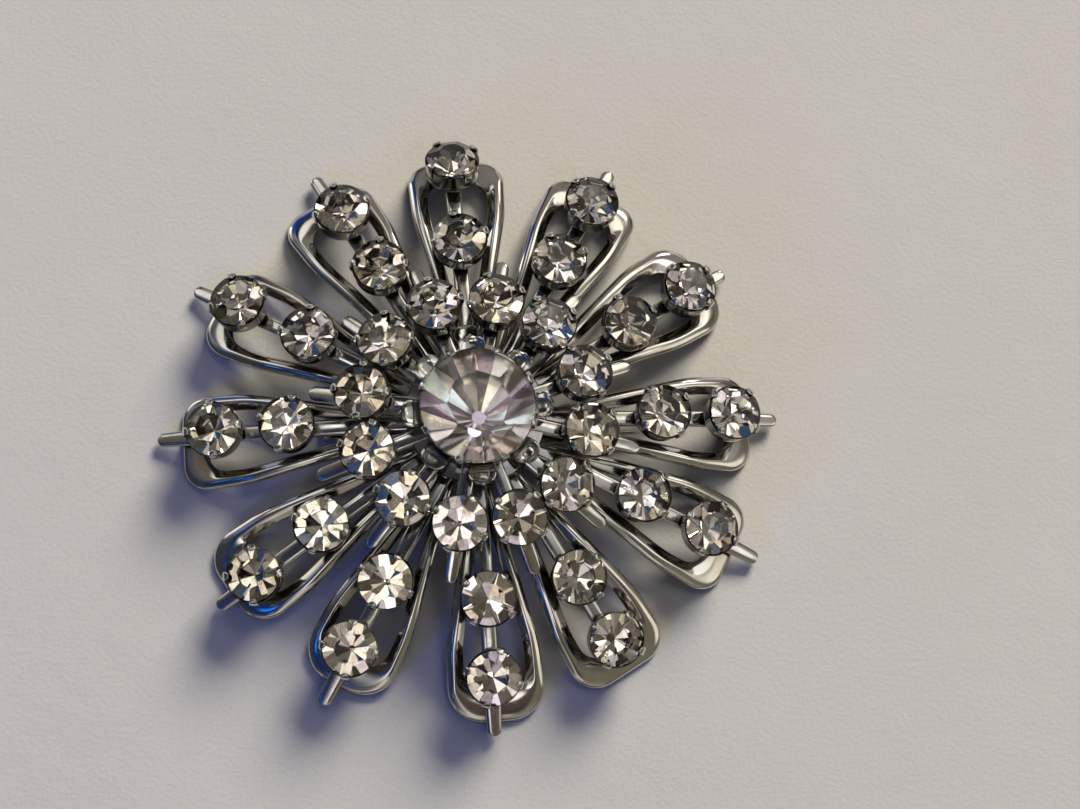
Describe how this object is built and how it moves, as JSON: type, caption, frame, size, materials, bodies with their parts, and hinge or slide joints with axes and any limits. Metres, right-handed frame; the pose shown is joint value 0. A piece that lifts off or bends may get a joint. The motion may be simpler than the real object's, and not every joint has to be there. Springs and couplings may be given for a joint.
{
  "type": "starburst brooch",
  "caption": "Domed metal brooch of open petals and long and short rays, set with clear round cut stones, with a bar pin on the back.",
  "frame": {"origin": "on the surface that the brooch lies on, under the middle of the brooch", "axes": "+Z out of the brooch's face, +Y towards the ray that the picture shows at the top"},
  "size_m": [0.0628, 0.0612, 0.0132],
  "materials": {
    "petal_metal": "polished silver-tone plate",
    "ray_metal": "polished silver-tone plate",
    "short_ray_metal": "polished silver-tone plate",
    "setting_metal": "polished silver-tone plate",
    "pin_metal": "plain silver-tone plate",
    "clear_stone": "clear cut glass with a foil back",
    "large_clear_stone": "clear cut glass with a foil back"
  },
  "bodies": {
    "root": {"petal_plate": "petal_metal", "ray_star": "ray_metal", "inner_star": "short_ray_metal", "centre_setting": "setting_metal", "pin_back": "pin_metal", "centre_stone": "large_clear_stone", "inner_stone_01": "clear_stone", "inner_stone_02": "clear_stone", "inner_stone_03": "clear_stone", "inner_stone_04": "clear_stone", "inner_stone_05": "clear_stone", "inner_stone_06": "clear_stone", "inner_stone_07": "clear_stone", "inner_stone_08": "clear_stone", "inner_stone_09": "clear_stone", "inner_stone_10": "clear_stone", "inner_stone_11": "clear_stone", "inner_stone_12": "clear_stone", "middle_stone_01": "clear_stone", "middle_stone_02": "clear_stone", "middle_stone_03": "clear_stone", "middle_stone_04": "clear_stone", "middle_stone_05": "clear_stone", "middle_stone_06": "clear_stone", "middle_stone_07": "clear_stone", "middle_stone_08": "clear_stone", "middle_stone_09": "clear_stone", "middle_stone_10": "clear_stone", "middle_stone_11": "clear_stone", "middle_stone_12": "clear_stone", "outer_stone_01": "clear_stone", "outer_stone_02": "clear_stone", "outer_stone_03": "clear_stone", "outer_stone_04": "clear_stone", "outer_stone_05": "clear_stone", "outer_stone_06": "clear_stone", "outer_stone_07": "clear_stone", "outer_stone_08": "clear_stone", "outer_stone_09": "clear_stone", "outer_stone_10": "clear_stone", "outer_stone_11": "clear_stone", "outer_stone_12": "clear_stone"}
  },
  "joints": []
}
